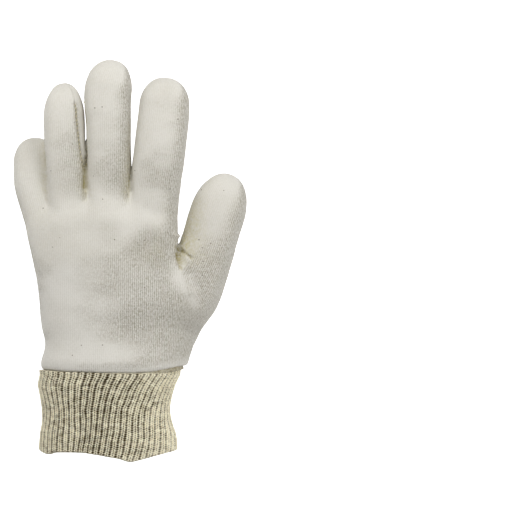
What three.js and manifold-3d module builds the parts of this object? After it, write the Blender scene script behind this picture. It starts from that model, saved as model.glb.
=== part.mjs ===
// Cotton work glove for the left hand, in the filled shape that it keeps when it is worn.
// Two knitted cotton panels are sewn together round the outline of the hand, and a ribbed
// cuff is sewn inside their hem. Millimetres, +Z up along the fingers, +X towards the thumb,
// the back of the hand faces -Y and the palm +Y. The origin is the middle of the cuff's mouth.

import * as THREE from "three";
import { mergeVertices } from "three/addons/utils/BufferGeometryUtils.js";
import Module from "manifold-3d";

const wasm = await Module();
wasm.setup();

// Cuff: outer width and depth at its widest, height below the hem, and its thick ribbed wall
const CUFF_WIDTH = 90;
const CUFF_DEPTH = 50;
const CUFF_HEIGHT = 54;
const CUFF_WALL = 2.4;
const CUFF_TUCK = 6;
const RIB_COUNT = 56;
const RIB_DEPTH = 1.1;

// Body: outer width, depth and length of the hand part up to the crotches of the fingers
const PALM_WIDTH = 90;
const PALM_DEPTH = 44;
const PALM_LENGTH = 114;

// Cloth of the panels, the space between them along the side seam, and the space to the cuff
const CLOTH = 1.7;
const SEAM_GAP = 0.3;
const CUFF_GAP = 0.3;

// Digits: length from the root, which lies inside the palm, to the tip, width and depth
const LITTLE_LENGTH = 76;
const LITTLE_WIDTH = 25;
const LITTLE_DEPTH = 22;
const RING_LENGTH = 104;
const RING_WIDTH = 24.6;
const RING_DEPTH = 22.5;
const MIDDLE_LENGTH = 118;
const MIDDLE_WIDTH = 27.4;
const MIDDLE_DEPTH = 23.5;
const INDEX_LENGTH = 107.5;
const INDEX_WIDTH = 32;
const INDEX_DEPTH = 24.5;
const THUMB_LENGTH = 110;
const THUMB_WIDTH = 32;
const THUMB_DEPTH = 28;

// Form of the sections and tips: 2 is round and more is squarer. TIP_ROUND is the length of
// a digit's rounded end as a share of its width.
const RING_SQUARENESS = 2.25;
const PALM_SQUARENESS = 2.6;
const TIP_BLUNTNESS = 2.1;
const TIP_ROUND = 0.56;

// The cuff's mouth, as shares of CUFF_HEIGHT: how far its edge dips in the middle of the back
// and the palm side, rises at both sides and skews, and how high up the cuff this reaches
const MOUTH_DIP = 0.035;
const MOUTH_SIDES = 0.085;
const MOUTH_SKEW = 0.034;
const MOUTH_REACH = 0.5;

// Fineness of the faceted surfaces
const DIGIT_SIDES = 16;
const DIGIT_STEPS = 6;
const TIP_STEPS = 4;
const PALM_SIDES = 30;
const SEAM_STEP = 9;

// Palm sections from the hem up. up: share of PALM_LENGTH. left, right: shares of PALM_WIDTH.
// depth: share of PALM_DEPTH. shift: move towards the palm side, share of PALM_DEPTH.
const PALM_ROWS = [
  { up: 0.0, left: -0.465, right: 0.53, depth: 1.1, shift: 0.0 },
  { up: 0.05, left: -0.468, right: 0.54, depth: 1.11, shift: 0.0 },
  { up: 0.12, left: -0.437, right: 0.574, depth: 1.04, shift: 0.01 },
  { up: 0.17, left: -0.43, right: 0.602, depth: 1.02, shift: 0.03 },
  { up: 0.25, left: -0.453, right: 0.615, depth: 1.0, shift: 0.05 },
  { up: 0.34, left: -0.464, right: 0.65, depth: 0.97, shift: 0.05 },
  { up: 0.44, left: -0.478, right: 0.63, depth: 0.91, shift: 0.05 },
  { up: 0.55, left: -0.498, right: 0.56, depth: 0.85, shift: 0.04 },
  { up: 0.66, left: -0.523, right: 0.488, depth: 0.79, shift: 0.02 },
  { up: 0.745, left: -0.54, right: 0.476, depth: 0.73, shift: 0.02 },
  { up: 0.82, left: -0.52, right: 0.465, depth: 0.67, shift: 0.03 },
  { up: 0.895, left: -0.435, right: 0.455, depth: 0.51, shift: 0.04 },
  { up: 0.96, left: -0.3, right: 0.4, depth: 0.32, shift: 0.05 },
  { up: 1.0, left: -0.12, right: 0.25, depth: 0.12, shift: 0.06 },
];

// Cuff sections from the mouth up to the hem. up: share of CUFF_HEIGHT. side: sideways move,
// share of CUFF_WIDTH. width, depth: shares of CUFF_WIDTH and CUFF_DEPTH.
const CUFF_ROWS = [
  { up: 0.0, side: 0.0, width: 0.93, depth: 0.96 },
  { up: 0.12, side: 0.001, width: 0.95, depth: 0.98 },
  { up: 0.27, side: 0.0, width: 0.935, depth: 0.96 },
  { up: 0.42, side: -0.008, width: 0.893, depth: 0.92 },
  { up: 0.56, side: -0.014, width: 0.885, depth: 0.91 },
  { up: 0.7, side: -0.014, width: 0.91, depth: 0.93 },
  { up: 0.84, side: -0.008, width: 0.95, depth: 0.97 },
  { up: 0.95, side: 0.014, width: 0.995, depth: 1.0 },
];

// Digits. x, up, lift: root, as shares of PALM_WIDTH, PALM_LENGTH and PALM_DEPTH. lean: degrees
// towards the thumb. rows along each digit: bow, sideways, and curl, towards the palm side,
// are shares of its length; width and depth are shares of its own width and depth.
const DIGITS = [
  {
    length: LITTLE_LENGTH, width: LITTLE_WIDTH, depth: LITTLE_DEPTH,
    x: -0.36, up: 0.615, lift: 0.05, lean: -10.0,
    rows: [
      { along: 0.0, bow: 0.0, curl: 0.0, width: 1.0, depth: 1.05 },
      { along: 0.3, bow: -0.036, curl: 0.045, width: 1.02, depth: 1.04 },
      { along: 0.6, bow: -0.05, curl: 0.115, width: 1.02, depth: 1.02 },
      { along: 0.8, bow: -0.034, curl: 0.17, width: 1.0, depth: 1.0 },
      { along: 1.0, bow: 0.0, curl: 0.25, width: 0.98, depth: 0.98 },
    ],
  },
  {
    length: RING_LENGTH, width: RING_WIDTH, depth: RING_DEPTH,
    x: -0.246, up: 0.66, lift: 0.0, lean: -3.2,
    rows: [
      { along: 0.0, bow: 0.0, curl: 0.0, width: 1.04, depth: 1.1 },
      { along: 0.35, bow: -0.004, curl: -0.006, width: 0.97, depth: 1.04 },
      { along: 0.65, bow: -0.008, curl: 0.0, width: 1.0, depth: 1.0 },
      { along: 0.85, bow: -0.004, curl: 0.015, width: 1.0, depth: 1.0 },
      { along: 1.0, bow: 0.0, curl: 0.035, width: 0.98, depth: 0.97 },
    ],
  },
  {
    length: MIDDLE_LENGTH, width: MIDDLE_WIDTH, depth: MIDDLE_DEPTH,
    x: 0.0, up: 0.66, lift: 0.0, lean: 0.5,
    rows: [
      { along: 0.0, bow: 0.0, curl: 0.0, width: 1.0, depth: 1.08 },
      { along: 0.35, bow: 0.0, curl: -0.008, width: 0.99, depth: 1.02 },
      { along: 0.65, bow: -0.002, curl: -0.004, width: 0.98, depth: 1.0 },
      { along: 0.84, bow: -0.008, curl: 0.008, width: 1.06, depth: 1.02 },
      { along: 1.0, bow: 0.02, curl: 0.026, width: 1.02, depth: 1.0 },
    ],
  },
  {
    length: INDEX_LENGTH, width: INDEX_WIDTH, depth: INDEX_DEPTH,
    x: 0.292, up: 0.66, lift: 0.0, lean: 4.9,
    rows: [
      { along: 0.0, bow: 0.0, curl: 0.0, width: 0.96, depth: 1.06 },
      { along: 0.33, bow: 0.008, curl: -0.006, width: 0.99, depth: 1.03 },
      { along: 0.6, bow: 0.014, curl: 0.0, width: 1.0, depth: 1.0 },
      { along: 0.82, bow: 0.014, curl: 0.016, width: 0.99, depth: 1.0 },
      { along: 1.0, bow: 0.0, curl: 0.04, width: 0.96, depth: 0.97 },
    ],
  },
  {
    length: THUMB_LENGTH, width: THUMB_WIDTH, depth: THUMB_DEPTH,
    x: 0.365, up: 0.195, lift: 0.07, lean: 22.3,
    rows: [
      { along: 0.0, bow: 0.0, curl: 0.0, width: 0.75, depth: 0.9 },
      { along: 0.12, bow: 0.02, curl: 0.012, width: 1.12, depth: 1.16 },
      { along: 0.28, bow: 0.045, curl: 0.03, width: 1.3, depth: 1.2 },
      { along: 0.52, bow: 0.06, curl: 0.05, width: 1.06, depth: 1.05 },
      { along: 0.75, bow: 0.038, curl: 0.07, width: 1.0, depth: 1.0 },
      { along: 1.0, bow: 0.004, curl: 0.095, width: 0.97, depth: 0.97 },
    ],
  },
];

// Main folds and hollows. face: -1 on the back, 1 on the palm side. x and up: both ends, as
// shares of PALM_WIDTH and PALM_LENGTH. reach and deep: half width and depth, shares of PALM_DEPTH.
const FOLDS = [
  { face: 1, x: [0.2, 0.44], up: [0.955, 0.865], reach: 0.11, deep: 0.09 },
  { face: 1, x: [0.39, 0.49], up: [0.77, 0.73], reach: 0.1, deep: 0.07 },
  { face: 1, x: [0.5, 0.62], up: [0.69, 0.63], reach: 0.1, deep: 0.08 },
  { face: -1, x: [0.16, 0.4], up: [0.9, 0.89], reach: 0.12, deep: 0.035 },
  { face: -1, x: [0.3, 0.34], up: [0.72, 0.62], reach: 0.26, deep: 0.05 },
  { face: -1, x: [0.5, 0.56], up: [0.66, 0.58], reach: 0.12, deep: 0.08 },
];

const COTTON_COLOUR = 0xe2dccd;
const CUFF_COLOUR = 0xb8ab8a;
const CLOTH_ROUGHNESS = 0.95;

// How the side seam's depth follows the digits: how tightly it keeps to the nearest one, how
// strongly the palm draws it, and over which share of PALM_LENGTH the palm's pull fades
const SEAM_TIGHTNESS = 4;
const SEAM_PALM_PULL = 2;
const SEAM_PALM_FADE = 0.35;

const AHEAD = 0.01;
const LEAST_HALF = 1e-3;
const LEAST_WEIGHT = 1e-6;
const WELD = 1e-4;

// Smooth reading of a table's column at any place, by a cubic through its rows
function read(rows, key, column, at) {
  const last = rows.length - 1;
  let i = 0;
  while (i < last - 1 && at > rows[i + 1][key]) {
    i += 1;
  }
  const slope = (k) => {
    const low = rows[Math.max(k - 1, 0)];
    const high = rows[Math.min(k + 1, last)];
    return (high[column] - low[column]) / (high[key] - low[key]);
  };
  const span = rows[i + 1][key] - rows[i][key];
  const t = (at - rows[i][key]) / span;
  const rise = t * t * (3 - 2 * t);
  return (
    rows[i][column] * (1 - rise) +
    rows[i + 1][column] * rise +
    span * slope(i) * (t - 2 * t * t + t * t * t) +
    span * slope(i + 1) * (t * t * t - t * t)
  );
}

// One point of a squared ellipse: a and b are its half axes
function onRing(angle, a, b, squareness) {
  const c = Math.cos(angle);
  const s = Math.sin(angle);
  const power = 2 / squareness;
  return [
    a * Math.sign(c) * Math.abs(c) ** power,
    b * Math.sign(s) * Math.abs(s) ** power,
  ];
}

// Section of the palm at a height over the hem, moved inwards by inset
function palmSection(height, inset) {
  const up = height / PALM_LENGTH;
  const at = (column) => read(PALM_ROWS, "up", column, up);
  const left = at("left") * PALM_WIDTH + inset;
  const right = at("right") * PALM_WIDTH - inset;
  return {
    x: (left + right) / 2,
    y: at("shift") * PALM_DEPTH,
    a: Math.max((right - left) / 2, LEAST_HALF),
    b: Math.max((at("depth") * PALM_DEPTH) / 2 - inset, LEAST_HALF),
  };
}

// Middle of a digit at a share of its length
function digitPoint(digit, along) {
  const lean = THREE.MathUtils.degToRad(digit.lean);
  const run = along * digit.length;
  const bow = read(digit.rows, "along", "bow", along) * digit.length;
  const curl = read(digit.rows, "along", "curl", along) * digit.length;
  return new THREE.Vector3(
    digit.x * PALM_WIDTH + run * Math.sin(lean) + bow * Math.cos(lean),
    digit.lift * PALM_DEPTH + curl,
    CUFF_HEIGHT + digit.up * PALM_LENGTH + run * Math.cos(lean) - bow * Math.sin(lean),
  );
}

// Closed solid through rings of points, with a fan to a middle point at each end
function loft(rings, startPoint, endPoint) {
  const sides = rings[0].length;
  const points = rings.flat().concat([startPoint, endPoint]);
  const start = points.length - 2;
  const end = points.length - 1;
  const lastRing = (rings.length - 1) * sides;
  const index = [];
  for (let j = 0; j < sides; j += 1) {
    const k = (j + 1) % sides;
    for (let i = 0; i < rings.length - 1; i += 1) {
      const low = i * sides;
      const high = low + sides;
      index.push(low + j, low + k, high + k, low + j, high + k, high + j);
    }
    index.push(start, k, j, end, lastRing + j, lastRing + k);
  }
  return { points, index };
}

// The digit as a lofted tube with a blunt round tip. inset is 0 outside and CLOTH inside.
function digitLoft(digit, inset) {
  const tipEnd = 1 - inset / digit.length;
  const tipStart = 1 - (TIP_ROUND * digit.width) / digit.length;
  const places = [];
  for (let i = 0; i <= DIGIT_STEPS; i += 1) {
    places.push((tipStart * i) / DIGIT_STEPS);
  }
  for (let i = 1; i < TIP_STEPS; i += 1) {
    places.push(tipStart + (tipEnd - tipStart) * Math.sin((i * Math.PI) / (2 * TIP_STEPS)));
  }
  const rings = places.map((along) => {
    const beyond = Math.max(along - tipStart, 0) / (tipEnd - tipStart);
    const cap = (1 - beyond ** TIP_BLUNTNESS) ** (1 / TIP_BLUNTNESS);
    const middle = digitPoint(digit, along);
    const ahead = digitPoint(digit, along + AHEAD).sub(middle).normalize();
    const across = new THREE.Vector3(1, 0, 0);
    across.addScaledVector(ahead, -across.dot(ahead)).normalize();
    const through = new THREE.Vector3().crossVectors(ahead, across);
    const width = (read(digit.rows, "along", "width", along) * digit.width) / 2 - inset;
    const depth = (read(digit.rows, "along", "depth", along) * digit.depth) / 2 - inset;
    return Array.from({ length: DIGIT_SIDES }, (_, j) => {
      const angle = (2 * Math.PI * (j + 0.5)) / DIGIT_SIDES;
      const [u, v] = onRing(angle, width * cap, depth * cap, RING_SQUARENESS);
      return middle.clone().addScaledVector(across, u).addScaledVector(through, v);
    });
  });
  return loft(rings, digitPoint(digit, 0), digitPoint(digit, tipEnd));
}

// The palm from the hem, or from below it, up to the crotches of the fingers
function palmLoft(inset, below) {
  const heights = PALM_ROWS.map((row) => row.up * PALM_LENGTH);
  const top = PALM_LENGTH - inset;
  const all = heights.filter((height) => height < top - CLOTH);
  if (below > 0) {
    all.unshift(-below);
  }
  const rings = all.map((height) => {
    const section = palmSection(Math.max(height, 0), inset);
    return Array.from({ length: PALM_SIDES }, (_, j) => {
      const angle = (2 * Math.PI * (j + 0.5)) / PALM_SIDES;
      const [u, v] = onRing(angle, section.a, section.b, PALM_SQUARENESS);
      return new THREE.Vector3(section.x + u, section.y + v, CUFF_HEIGHT + height);
    });
  });
  const cap = palmSection(top, inset);
  const foot = palmSection(0, inset);
  return loft(
    rings,
    new THREE.Vector3(foot.x, foot.y, CUFF_HEIGHT + all[0]),
    new THREE.Vector3(cap.x, cap.y, CUFF_HEIGHT + top),
  );
}

// Depth of the side seam at a place seen from the front: the middle depth of the nearest digit
function seamDepth(x, z) {
  let sum = 0;
  let weights = 0;
  for (const digit of DIGITS) {
    const start = CUFF_HEIGHT + digit.up * PALM_LENGTH;
    const lean = THREE.MathUtils.degToRad(digit.lean);
    const root = digit.x * PALM_WIDTH;
    const run = (x - root) * Math.sin(lean) + (z - start) * Math.cos(lean);
    const along = THREE.MathUtils.clamp(run / digit.length, 0, 1);
    const point = digitPoint(digit, along);
    const away = Math.hypot(x - point.x, z - point.z) / digit.width;
    const weight = Math.exp(-SEAM_TIGHTNESS * away * away) + LEAST_WEIGHT;
    sum += weight * point.y;
    weights += weight;
  }
  const palm = palmSection(THREE.MathUtils.clamp(z - CUFF_HEIGHT, 0, PALM_LENGTH), 0);
  const below = 1 - (z - CUFF_HEIGHT) / PALM_LENGTH;
  const palmWeight = SEAM_PALM_PULL * THREE.MathUtils.smoothstep(below, 0, SEAM_PALM_FADE);
  return (sum + palmWeight * palm.y) / (weights + palmWeight);
}

// Presses the folds into a loft's points, on the face that they belong to
function pressFolds(points) {
  for (const point of points) {
    const side = point.y > seamDepth(point.x, point.z) ? 1 : -1;
    for (const fold of FOLDS) {
      const from = [fold.x[0] * PALM_WIDTH, CUFF_HEIGHT + fold.up[0] * PALM_LENGTH];
      const to = [fold.x[1] * PALM_WIDTH, CUFF_HEIGHT + fold.up[1] * PALM_LENGTH];
      const run = [to[0] - from[0], to[1] - from[1]];
      const length = Math.hypot(...run);
      const dot = (point.x - from[0]) * run[0] + (point.z - from[1]) * run[1];
      const t = THREE.MathUtils.clamp(dot / length ** 2, 0, 1);
      const away = Math.hypot(point.x - from[0] - t * run[0], point.z - from[1] - t * run[1]);
      const share = away / (fold.reach * PALM_DEPTH);
      if (side === fold.face) {
        point.y -= side * fold.deep * PALM_DEPTH * Math.exp(-share * share);
      }
    }
  }
}

function solidOf({ points, index }) {
  const geometry = new THREE.BufferGeometry();
  const flat = points.flatMap((point) => [point.x, point.y, point.z]);
  geometry.setAttribute("position", new THREE.Float32BufferAttribute(flat, 3));
  geometry.setIndex(index);
  const merged = mergeVertices(geometry, WELD);
  return new wasm.Manifold(
    new wasm.Mesh({
      numProp: 3,
      vertProperties: new Float32Array(merged.attributes.position.array),
      triVerts: new Uint32Array(merged.index.array),
    }),
  );
}

function geometryOf(solid) {
  const mesh = solid.getMesh();
  const geometry = new THREE.BufferGeometry();
  geometry.setAttribute("position", new THREE.BufferAttribute(mesh.vertProperties, 3));
  geometry.setIndex(new THREE.BufferAttribute(mesh.triVerts, 1));
  geometry.computeVertexNormals();
  return geometry;
}

// The whole filled form of the hand, outside or inside the cloth
function handForm(inset, below) {
  const palm = palmLoft(inset, below);
  pressFolds(palm.points);
  let form = solidOf(palm);
  for (const digit of DIGITS) {
    const tube = digitLoft(digit, inset);
    pressFolds(tube.points);
    form = form.add(solidOf(tube));
  }
  return form;
}

// Block on one side of the seam: side -1 holds the back of the hand and 1 the palm
function seamBlock(side) {
  const tips = DIGITS.map((digit) => digitPoint(digit, 1));
  const startX = Math.min(...tips.map((tip) => tip.x)) - THUMB_WIDTH;
  const endX = Math.max(...tips.map((tip) => tip.x)) + THUMB_WIDTH;
  const startZ = CUFF_HEIGHT - SEAM_STEP;
  const endZ = Math.max(...tips.map((tip) => tip.z)) + SEAM_STEP;
  const reach = PALM_DEPTH + Math.max(...tips.map((tip) => Math.abs(tip.y)));
  const columns = Math.ceil((endX - startX) / SEAM_STEP);
  const rows = Math.ceil((endZ - startZ) / SEAM_STEP);
  const points = [];
  const index = [];
  for (let r = 0; r <= rows; r += 1) {
    for (let c = 0; c <= columns; c += 1) {
      const x = startX + c * SEAM_STEP;
      const z = startZ + r * SEAM_STEP;
      points.push(new THREE.Vector3(x, seamDepth(x, z) + (side * SEAM_GAP) / 2, z));
    }
  }
  const layer = points.length;
  for (let i = 0; i < layer; i += 1) {
    points.push(new THREE.Vector3(points[i].x, side * reach, points[i].z));
  }
  const quad = (a, b, c, d) => {
    if (side > 0) {
      index.push(a, b, c, a, c, d);
    } else {
      index.push(a, c, b, a, d, c);
    }
  };
  const at = (r, c) => r * (columns + 1) + c;
  for (let r = 0; r < rows; r += 1) {
    for (let c = 0; c < columns; c += 1) {
      const corners = [at(r, c), at(r, c + 1), at(r + 1, c + 1), at(r + 1, c)];
      quad(...corners);
      quad(...corners.reverse().map((i) => i + layer));
    }
    quad(at(r, 0), at(r + 1, 0), at(r + 1, 0) + layer, at(r, 0) + layer);
    quad(at(r + 1, columns), at(r, columns), at(r, columns) + layer, at(r + 1, columns) + layer);
  }
  for (let c = 0; c < columns; c += 1) {
    quad(at(0, c + 1), at(0, c), at(0, c) + layer, at(0, c + 1) + layer);
    quad(at(rows, c), at(rows, c + 1), at(rows, c + 1) + layer, at(rows, c) + layer);
  }
  return solidOf({ points, index });
}

// Section of the cuff at a height over its mouth. Its top stretch lies inside the panels' hem.
function cuffSection(height) {
  if (height >= CUFF_HEIGHT - CUFF_GAP) {
    return palmSection(Math.max(height - CUFF_HEIGHT, 0), CLOTH + CUFF_GAP);
  }
  const up = height / CUFF_HEIGHT;
  const at = (column) => read(CUFF_ROWS, "up", column, up);
  return {
    x: at("side") * CUFF_WIDTH,
    y: 0,
    a: (at("width") * CUFF_WIDTH) / 2,
    b: (at("depth") * CUFF_DEPTH) / 2,
  };
}

// Rise of the cuff's edge round its mouth, fading up the cuff
function mouthRise(angle, height) {
  const wave = MOUTH_SIDES * Math.cos(angle) ** 2 - MOUTH_DIP + MOUTH_SKEW * Math.sin(2 * angle);
  const share = 1 - Math.min(height / (MOUTH_REACH * CUFF_HEIGHT), 1);
  return CUFF_HEIGHT * wave * share;
}

// The ribbed cuff: a tube with a ridge for each rib outside and a plain wall inside
function cuffLoft() {
  const heights = CUFF_ROWS.map((row) => row.up * CUFF_HEIGHT);
  heights.push(CUFF_HEIGHT - CUFF_GAP, CUFF_HEIGHT + CUFF_TUCK);
  const outerSides = 2 * RIB_COUNT;
  const ring = (height, sides, inset, ribbed) =>
    Array.from({ length: sides }, (_, j) => {
      const angle = (2 * Math.PI * j) / sides;
      const section = cuffSection(height);
      const groove = ribbed && j % 2 === 1 ? RIB_DEPTH : 0;
      const a = section.a - inset - groove;
      const b = section.b - inset - groove;
      const [u, v] = onRing(angle, a, b, RING_SQUARENESS);
      return new THREE.Vector3(
        section.x + u,
        section.y + v,
        height + mouthRise(angle, height),
      );
    });
  const outer = heights.map((height) => ring(height, outerSides, 0, true));
  const innerHeights = heights.filter((_, i) => i % 2 === 0 || i === heights.length - 1);
  const inner = innerHeights.map((height) => ring(height, RIB_COUNT, CUFF_WALL + RIB_DEPTH, false));
  const points = outer.flat().concat(inner.flat());
  const innerStart = outer.length * outerSides;
  const index = [];
  for (let i = 0; i < outer.length - 1; i += 1) {
    for (let j = 0; j < outerSides; j += 1) {
      const k = (j + 1) % outerSides;
      const low = i * outerSides;
      const high = low + outerSides;
      index.push(low + j, low + k, high + k, low + j, high + k, high + j);
    }
  }
  for (let i = 0; i < inner.length - 1; i += 1) {
    for (let j = 0; j < RIB_COUNT; j += 1) {
      const k = (j + 1) % RIB_COUNT;
      const low = innerStart + i * RIB_COUNT;
      const high = low + RIB_COUNT;
      index.push(low + j, high + k, low + k, low + j, high + j, high + k);
    }
  }
  const topOuter = (outer.length - 1) * outerSides;
  const topInner = innerStart + (inner.length - 1) * RIB_COUNT;
  for (let j = 0; j < RIB_COUNT; j += 1) {
    const k = (j + 1) % RIB_COUNT;
    const first = 2 * j;
    const groove = 2 * j + 1;
    const last = (2 * j + 2) % outerSides;
    index.push(innerStart + j, groove, first);
    index.push(innerStart + j, innerStart + k, groove);
    index.push(innerStart + k, last, groove);
    index.push(topInner + j, topOuter + first, topOuter + groove);
    index.push(topInner + j, topOuter + groove, topInner + k);
    index.push(topInner + k, topOuter + groove, topOuter + last);
  }
  return { points, index };
}

const glove = new THREE.Group();

function addPiece(name, geometry, colour) {
  const material = new THREE.MeshStandardMaterial({
    color: colour,
    roughness: CLOTH_ROUGHNESS,
    metalness: 0,
  });
  const piece = new THREE.Mesh(geometry, material);
  piece.name = name;
  glove.add(piece);
}

const shell = handForm(0, 0).subtract(handForm(CLOTH, CUFF_TUCK));
addPiece("back_panel", geometryOf(shell.intersect(seamBlock(-1))), COTTON_COLOUR);
addPiece("palm_panel", geometryOf(shell.intersect(seamBlock(1))), COTTON_COLOUR);
addPiece("knit_cuff", geometryOf(solidOf(cuffLoft())), CUFF_COLOUR);

export default glove;
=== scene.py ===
# %% [markdown]
# A cotton work glove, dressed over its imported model. It is two panels of knitted cotton, sewn
# together round the outline of the hand, with a ribbed cuff sewn inside their hem. The model
# fixes where everything is. A plain mesh from it would do for size, but not for looks, so
# here each part gets its own cloth.

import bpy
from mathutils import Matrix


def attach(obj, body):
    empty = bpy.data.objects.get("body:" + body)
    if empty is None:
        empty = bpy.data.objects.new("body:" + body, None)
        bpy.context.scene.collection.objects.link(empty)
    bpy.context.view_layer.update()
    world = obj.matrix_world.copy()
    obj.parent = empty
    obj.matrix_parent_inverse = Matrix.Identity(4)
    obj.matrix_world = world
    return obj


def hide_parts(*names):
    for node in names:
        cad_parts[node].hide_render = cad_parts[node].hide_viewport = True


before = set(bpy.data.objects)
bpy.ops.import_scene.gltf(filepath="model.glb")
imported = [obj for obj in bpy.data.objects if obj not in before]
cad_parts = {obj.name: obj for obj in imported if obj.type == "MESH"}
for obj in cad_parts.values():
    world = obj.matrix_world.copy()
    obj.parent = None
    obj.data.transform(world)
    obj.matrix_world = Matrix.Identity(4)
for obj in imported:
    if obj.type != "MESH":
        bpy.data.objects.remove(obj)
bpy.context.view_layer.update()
print("CAD nodes:", sorted(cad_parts))

# %% Tools and scale
import math

import bpy
import numpy as np
from mathutils import Vector

MM = 0.001
rng = np.random.default_rng(7)


def add_object(name, data):
    """A new object in the scene."""
    item = bpy.data.objects.new(name, data)
    bpy.context.scene.collection.objects.link(item)
    return item


def ramp(value, start, length):
    """0 at start, rising evenly to 1 over a length, which is below 0 to rise backwards."""
    return np.clip((value - start) / length, 0, 1)

# %% [markdown]
# The camera comes first, because every later look is judged through it. The glove is seen
# straight at the back of the hand, in the left half of a square picture. A long lens from two
# metres keeps the sides nearly parallel, as in a catalogue picture, and needs no shift.

# %% Camera
PICTURE_WIDTH = 329.2 * MM
PICTURE_MIDDLE = (97.3 * MM, 120.3 * MM)
CAMERA_AWAY, SENSOR = 2.0, 36

camera_data = bpy.data.cameras.new("camera")
camera_data.sensor_width = SENSOR
camera_data.lens = SENSOR * CAMERA_AWAY / PICTURE_WIDTH
camera_data.clip_end = 20
camera = add_object("camera", camera_data)
camera.location = (PICTURE_MIDDLE[0], -CAMERA_AWAY, PICTURE_MIDDLE[1])
camera.rotation_euler = (math.pi / 2, 0, 0)
bpy.context.scene.camera = camera
print("lens:", round(camera_data.lens, 1), "mm")

# %% [markdown]
# The sizes and short tables are those of the model, in millimetres: sections of the palm and
# cuff from the bottom up, and each digit's root, lean and width along its length. Repeating
# them, and not measuring the model, keeps the cloth smooth where the model has flat facets.

# %% Sizes
CUFF_WIDTH, CUFF_DEPTH, CUFF_HEIGHT, CUFF_WALL, CUFF_TUCK = 90, 50, 54, 2.4, 6
PALM_WIDTH, PALM_DEPTH, PALM_LENGTH = 90, 44, 114
CLOTH = 1.6
CUFF_SQUARENESS, FINGER_SQUARENESS, PALM_SQUARENESS = 2.25, 2.9, 2.6
TIP_BLUNTNESS = 2.1

PALM_TABLE = {
    "up": [0, .05, .12, .17, .25, .34, .44, .55, .66, .745, .82, .895, .96, 1],
    "left": [-.452, -.456, -.434, -.435, -.46, -.47, -.482, -.502, -.524, -.54, -.515, -.43,
             -.3, -.12],
    "right": [.552, .558, .586, .61, .618, .65, .63, .56, .488, .474, .46, .45, .4, .25],
    "depth": [1.1, 1.11, 1.04, 1.02, 1, .97, .91, .85, .79, .73, .67, .51, .32, .12],
    "shift": [0, 0, .01, .03, .05, .05, .05, .04, .02, .02, .03, .04, .05, .06],
}
CUFF_TABLE = {
    "up": [0, .12, .27, .42, .56, .7, .84, .95],
    "side": [0, .001, 0, -.008, -.014, -.014, -.008, .014],
    "width": [.942, .964, .948, .906, .897, .922, .962, .982],
    "depth": [.96, .98, .96, .92, .91, .93, .95, .96],
}
DIGITS = {
    "little": dict(
        length=76, width=25, depth=22, root=(-.36, .05, .615), lean=-10,
        tip=.6, along=[0, .3, .6, .8, 1],
        bow=[0, -.04, -.068, -.05, -.01], curl=[0, .045, .115, .17, .25],
        wide=[.97, .99, 1.03, 1.02, .98], deep=[1.05, 1.04, 1.02, 1, .98],
    ),
    "ring": dict(
        length=104, width=24.6, depth=22.5, root=(-.246, 0, .66), lean=-3.2,
        twist=(.7, 1.3), tip=.88, along=[0, .35, .65, .85, 1],
        bow=[0, -.001, -.007, -.004, 0], curl=[0, .004, -.002, .015, .04],
        wide=[1.04, 1.02, 1.02, 1, .98], deep=[1.1, 1.0, 1.02, 1, .97],
    ),
    "middle": dict(
        length=118, width=27.4, depth=23.5, root=(0, 0, .66), lean=.5,
        tip=.66, along=[0, .35, .65, .84, 1],
        bow=[0, 0, -.002, -.006, .032], curl=[0, .004, -.006, .008, .03],
        wide=[1, 1.03, .99, 1.05, 1.02], deep=[1.08, 1.0, 1.02, 1.02, 1],
    ),
    "index": dict(
        length=107.5, width=30.8, depth=24.5, root=(.289, 0, .66), lean=4.9,
        tip=.55, along=[0, .33, .6, .82, 1],
        bow=[0, .0, .01, .014, 0], curl=[0, .006, -.004, .014, .04],
        wide=[.96, 1.01, 1.02, 1, .96], deep=[1.06, 1.0, 1.03, 1, .97],
    ),
    "thumb": dict(
        length=109, width=32, depth=28, root=(.365, .07, .195), lean=22.3,
        tip=.8, along=[0, .12, .28, .52, .75, 1],
        bow=[0, .02, .045, .058, .038, .02], curl=[0, .012, .03, .05, .07, .095],
        wide=[.75, 1.12, 1.3, 1.1, 1.07, 1.03], deep=[.9, 1.16, 1.2, 1.05, 1, .97],
    ),
}
print("digits:", ", ".join(DIGITS))

# %% Reading a table smoothly
def read(table, key, column, at):
    """Value of a smooth curve through a table's rows, level beyond its ends. Between two rows
    it is the cubic that meets both values, with the slopes of the lines through the rows next
    to them."""
    keys, values = np.array(table[key], float), np.array(table[column], float)
    rows = [0, *range(len(keys)), -1]
    slope = (values[rows][2:] - values[rows][:-2]) / (keys[rows][2:] - keys[rows][:-2])
    at = np.clip(at, keys[0], keys[-1])
    i = np.clip(np.searchsorted(keys, at, side="right") - 1, 0, len(keys) - 2)
    span = keys[i + 1] - keys[i]
    t = (at - keys[i]) / span
    rise = t * t * (3 - 2 * t)
    bend = span * (slope[i] * (t - 2 * t * t + t ** 3) + slope[i + 1] * (t ** 3 - t * t))
    return values[i] * (1 - rise) + values[i + 1] * rise + bend


print("palm's right edge half way up:",
      round(float(read(PALM_TABLE, "up", "right", 0.5)) * PALM_WIDTH, 1))

# %% [markdown]
# A hand branches, and one grid of points can't cover a branching form without seams at the
# crotches. The panels are therefore the surface where a smooth function of place is zero:
# each digit and the palm give about the distance to their own surface, below zero inside,
# and the smaller of two such distances joins two forms. Rounding that minimum off sets how
# softly they meet: wide at the knuckles, and nearly sharp in the creases between fingers.

# %% Middle line of each digit
LINE_STEPS = 200


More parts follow.
